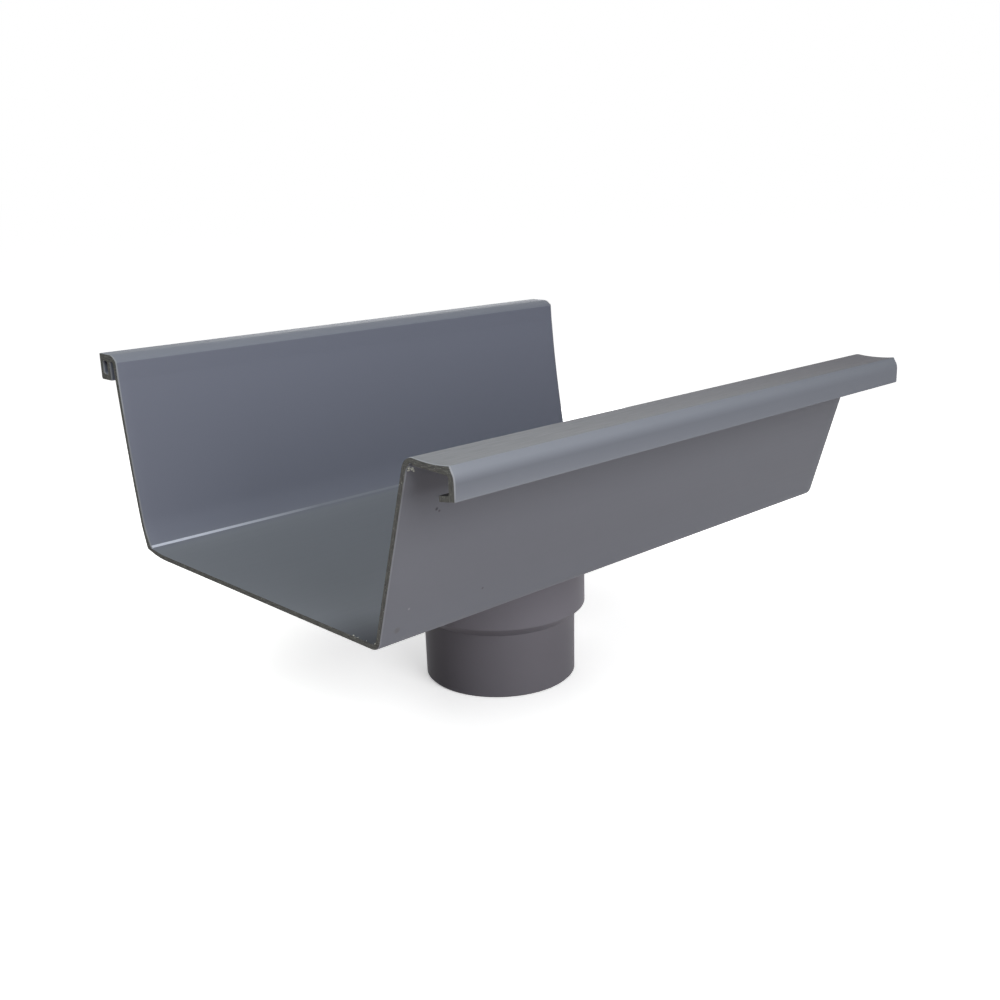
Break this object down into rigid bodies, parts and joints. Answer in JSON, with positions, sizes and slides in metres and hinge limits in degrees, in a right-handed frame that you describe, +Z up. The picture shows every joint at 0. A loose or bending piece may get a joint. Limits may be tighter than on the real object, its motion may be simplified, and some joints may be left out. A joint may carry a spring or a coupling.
{
  "type": "box gutter outlet",
  "caption": "Short length of open box gutter with a hooked front rim, a hollow rear bead and a stepped round spigot under its floor for a downpipe.",
  "frame": {"origin": "below the middle of the outer box, in the plane of the spigot's standing end", "axes": "+Z up along the spigot, +Y along the gutter, +X towards the front wall with the wide hooked rim"},
  "size_m": [0.259, 0.3, 0.178],
  "materials": {
    "trough_pvc": "extruded grey PVC, satin, sawn ends",
    "spigot_pvc": "injection moulded grey PVC, satin"
  },
  "bodies": {
    "root": {"gutter_trough": "trough_pvc", "outlet_spigot": "spigot_pvc"}
  },
  "joints": []
}
